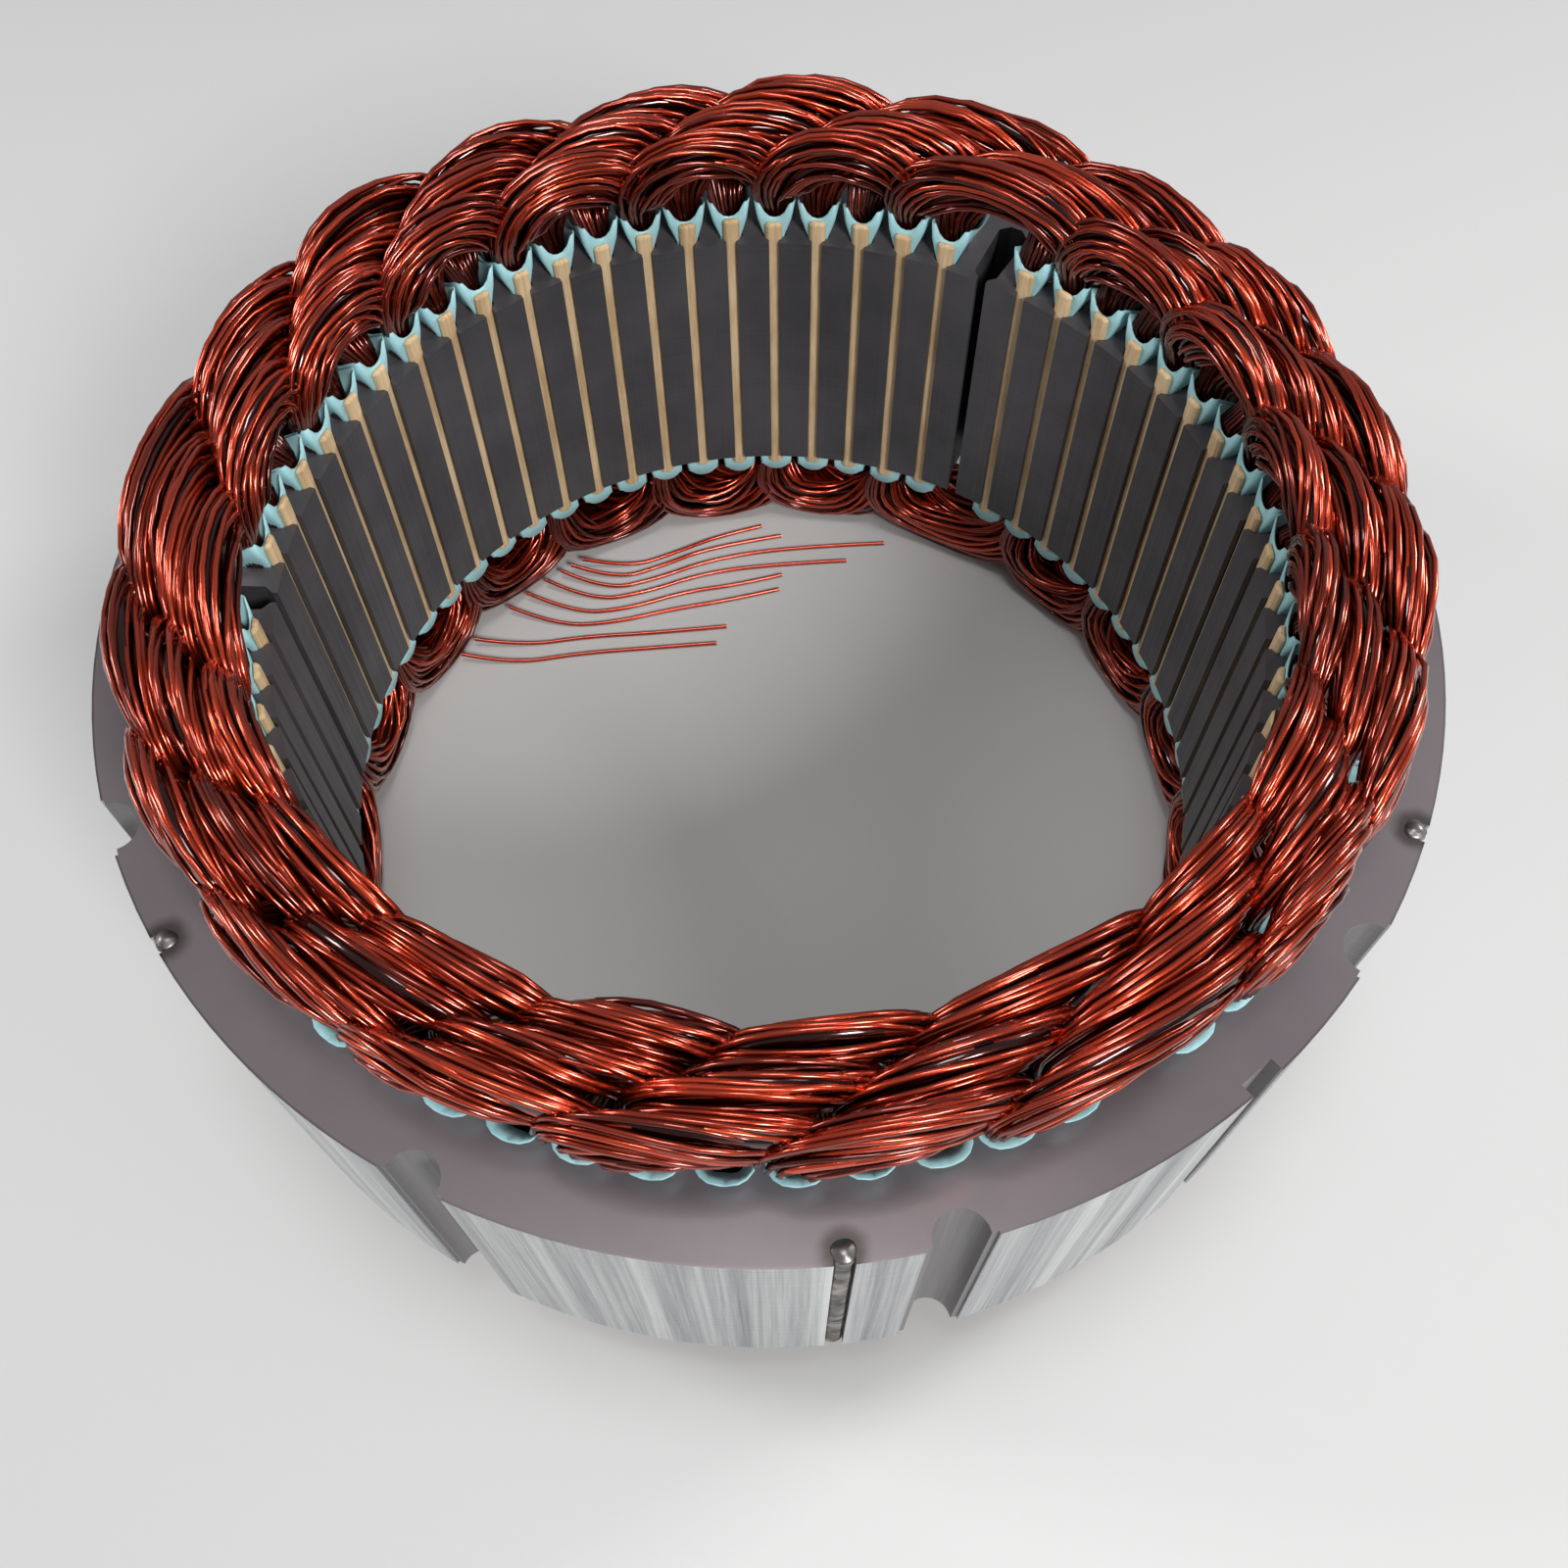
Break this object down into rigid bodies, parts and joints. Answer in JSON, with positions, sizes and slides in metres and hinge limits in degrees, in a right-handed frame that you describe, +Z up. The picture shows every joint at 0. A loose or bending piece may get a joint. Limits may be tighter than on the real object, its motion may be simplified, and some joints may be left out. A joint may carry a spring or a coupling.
{
  "type": "permanent magnet generator stator",
  "caption": "Wound stator ring of a permanent magnet generator: slotted laminated core, enamelled copper winding, slot liners, wedges, weld seams and free wire ends.",
  "frame": {"origin": "on the bore axis, on the surface that the lower end turns rest on", "axes": "+Z up along the bore axis, +X through a stator tooth beside a clamping notch"},
  "size_m": [0.29, 0.29, 0.142],
  "materials": {
    "core_steel": "satin",
    "weld_metal": "rough",
    "liner_sheet": "satin",
    "wedge_strip": "matt",
    "enamelled_copper": "gloss"
  },
  "bodies": {
    "root": {"lead_wire_1": "enamelled_copper", "lead_wire_2": "enamelled_copper", "lead_wire_3": "enamelled_copper", "lead_wire_4": "enamelled_copper", "lead_wire_5": "enamelled_copper", "lead_wire_6": "enamelled_copper", "lead_wire_7": "enamelled_copper", "lead_wire_8": "enamelled_copper", "lower_end_turns_a_1": "enamelled_copper", "lower_end_turns_a_2": "enamelled_copper", "lower_end_turns_a_3": "enamelled_copper", "lower_end_turns_b_1": "enamelled_copper", "lower_end_turns_b_2": "enamelled_copper", "lower_end_turns_b_3": "enamelled_copper", "lower_end_turns_c_1": "enamelled_copper", "lower_end_turns_c_2": "enamelled_copper", "lower_end_turns_c_3": "enamelled_copper", "slot_conductors_a": "enamelled_copper", "slot_conductors_b": "enamelled_copper", "slot_conductors_c": "enamelled_copper", "slot_liners_1": "liner_sheet", "slot_liners_2": "liner_sheet", "slot_liners_3": "liner_sheet", "slot_wedges_1": "wedge_strip", "slot_wedges_2": "wedge_strip", "slot_wedges_3": "wedge_strip", "stator_core": "core_steel", "upper_end_turns_a_1": "enamelled_copper", "upper_end_turns_a_2": "enamelled_copper", "upper_end_turns_a_3": "enamelled_copper", "upper_end_turns_b_1": "enamelled_copper", "upper_end_turns_b_2": "enamelled_copper", "upper_end_turns_b_3": "enamelled_copper", "upper_end_turns_c_1": "enamelled_copper", "upper_end_turns_c_2": "enamelled_copper", "upper_end_turns_c_3": "enamelled_copper", "weld_bead_1": "weld_metal", "weld_bead_2": "weld_metal", "weld_bead_3": "weld_metal", "weld_bead_4": "weld_metal", "weld_bead_5": "weld_metal", "weld_bead_6": "weld_metal"}
  },
  "joints": []
}
